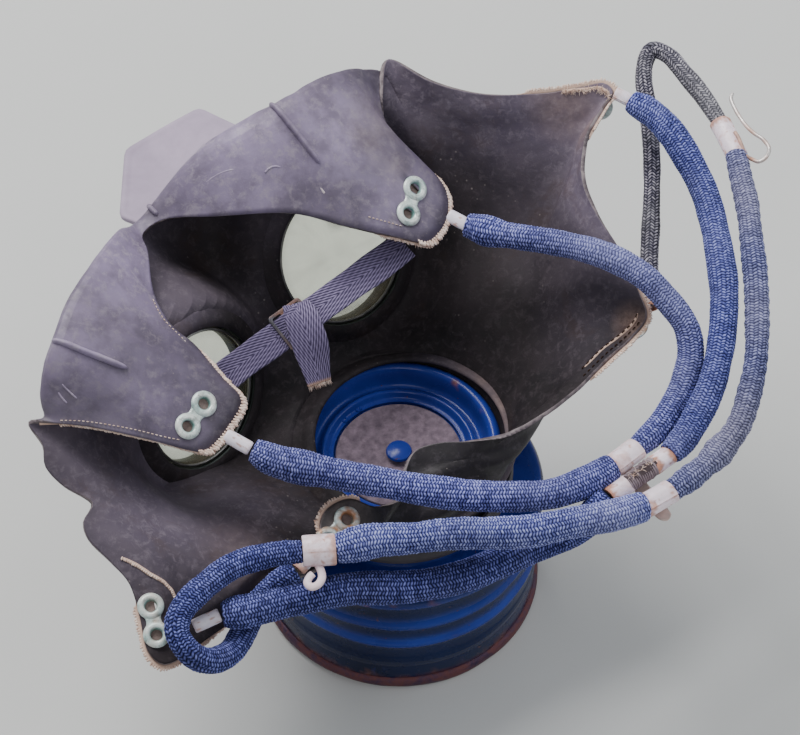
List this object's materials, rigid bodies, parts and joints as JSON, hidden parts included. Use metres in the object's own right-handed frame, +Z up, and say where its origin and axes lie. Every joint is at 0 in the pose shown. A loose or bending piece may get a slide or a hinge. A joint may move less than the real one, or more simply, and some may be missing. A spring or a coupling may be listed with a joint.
{
  "type": "full-face filter respirator",
  "caption": "Full-face rubber respirator lying face opening up on its round metal filter canister, with round eyepieces, a buckled brow tape and a braided spring-cord head harness.",
  "frame": {"origin": "centre of the canister's underside, on the floor", "axes": "+Z up through the canister's mouth; the forehead points to -X +Y, the chin to +X -Y, the wearer's right cheek to +X +Y"},
  "size_m": [0.2772, 0.2649, 0.1798],
  "materials": {
    "rubber": "aged satin, purple-grey bloom outside, brown-black inside",
    "valve_rubber": "matt, dusty brown",
    "guard": "matt grey-lilac",
    "blue_paint": "gloss cobalt blue, chipped and rust spotted",
    "rust_rim": "worn pinkish-purple paint over rust",
    "steel": "dull, tarnished",
    "slider": "dull plated sheet with rust at its edges",
    "ferrule": "pale plated, rusted through at the ends",
    "eyelet": "pale greenish plating, tarnished",
    "bezel": "satin dark green-black",
    "lens": "yellowed, stained at the edge",
    "cord": "blue braided cotton over a coil spring",
    "cord_grey": "coarse grey braid",
    "tape": "woven purple-navy tape with a frayed end",
    "charcoal": "granular activated charcoal",
    "felt": "pressed fibre pad"
  },
  "bodies": {
    "canister": {"canister_shell": "blue_paint", "canister_base": "rust_rim", "shoulder_stud": "blue_paint", "lower_screen": "steel", "particle_pad": "felt", "middle_screen": "steel", "charcoal_bed": "charcoal", "upper_screen": "steel", "pack_spring": "steel", "outlet_plate": "blue_paint", "valve_stud": "blue_paint"},
    "facepiece": {"facepiece_shell": "rubber", "neck_band": "rubber", "exhale_valve_body": "rubber", "exhale_valve_guard": "guard", "brow_tape": "tape", "eyepiece_rim_right": "bezel", "lens_right": "lens", "lens_snap_ring_right": "steel", "tie_plate_brow_right": "eyelet", "strap_tube_brow_right": "ferrule", "tie_plate_temple_right": "eyelet", "strap_tube_temple_right": "ferrule", "tie_plate_cheek_right": "eyelet", "strap_tube_cheek_right": "ferrule", "eyepiece_rim_left": "bezel", "lens_left": "lens", "lens_snap_ring_left": "steel", "tie_plate_brow_left": "eyelet", "strap_tube_brow_left": "ferrule", "tie_plate_temple_left": "eyelet", "strap_tube_temple_left": "ferrule", "tie_plate_cheek_left": "eyelet", "strap_tube_cheek_left": "ferrule"},
    "harness": {"brow_cord_left": "cord", "brow_cord_right": "cord", "temple_cord_left": "cord", "temple_cord_right": "cord", "neck_cord_hook": "cord_grey", "neck_cord_right": "cord", "neck_cord_left": "cord", "neck_cord_end": "cord", "ferrule_brow": "ferrule", "ferrule_eye": "ferrule", "ferrule_hook": "ferrule", "ferrule_neck": "ferrule", "ferrule_temple_lower": "ferrule", "ferrule_temple_upper": "ferrule", "centre_tie": "cord_grey", "junction_clip": "steel", "hook_eye": "ferrule"},
    "inhale_valve": {"inhale_valve": "valve_rubber"},
    "exhale_valve": {"exhale_valve_flap": "valve_rubber"},
    "tape_slider": {"tape_slider": "slider", "tape_tail": "tape"},
    "wire_hook": {"wire_hook": "steel"}
  },
  "joints": [
    {"name": "neck_pull", "type": "slide", "parent": "canister", "child": "facepiece", "axis": [0, 0, 1], "range_m": [0, 0.03]},
    {"name": "inhale_lift", "type": "slide", "parent": "canister", "child": "inhale_valve", "axis": [0, 0, 1], "range_m": [0, 0.0015]},
    {"name": "exhale_open", "type": "slide", "parent": "facepiece", "child": "exhale_valve", "axis": [-0.6217, 0.6017, -0.5014], "range_m": [0, 0.0015], "stiffness_N_per_m": 40},
    {"name": "tape_adjust", "type": "slide", "parent": "facepiece", "child": "tape_slider", "axis": [0.7511, 0.6586, 0.0462], "range_m": [-0.012, 0.012], "stiffness_N_per_m": 20},
    {"name": "harness_stretch", "type": "slide", "parent": "facepiece", "child": "harness", "axis": [0, 0, 1], "range_m": [0, 0.06], "stiffness_N_per_m": 30},
    {"name": "hook_swing", "type": "hinge", "parent": "harness", "child": "wire_hook", "pos_m": [0.134, 0.089, 0.1485], "axis": [0, 0, 1], "range_deg": [-40, 0]}
  ]
}
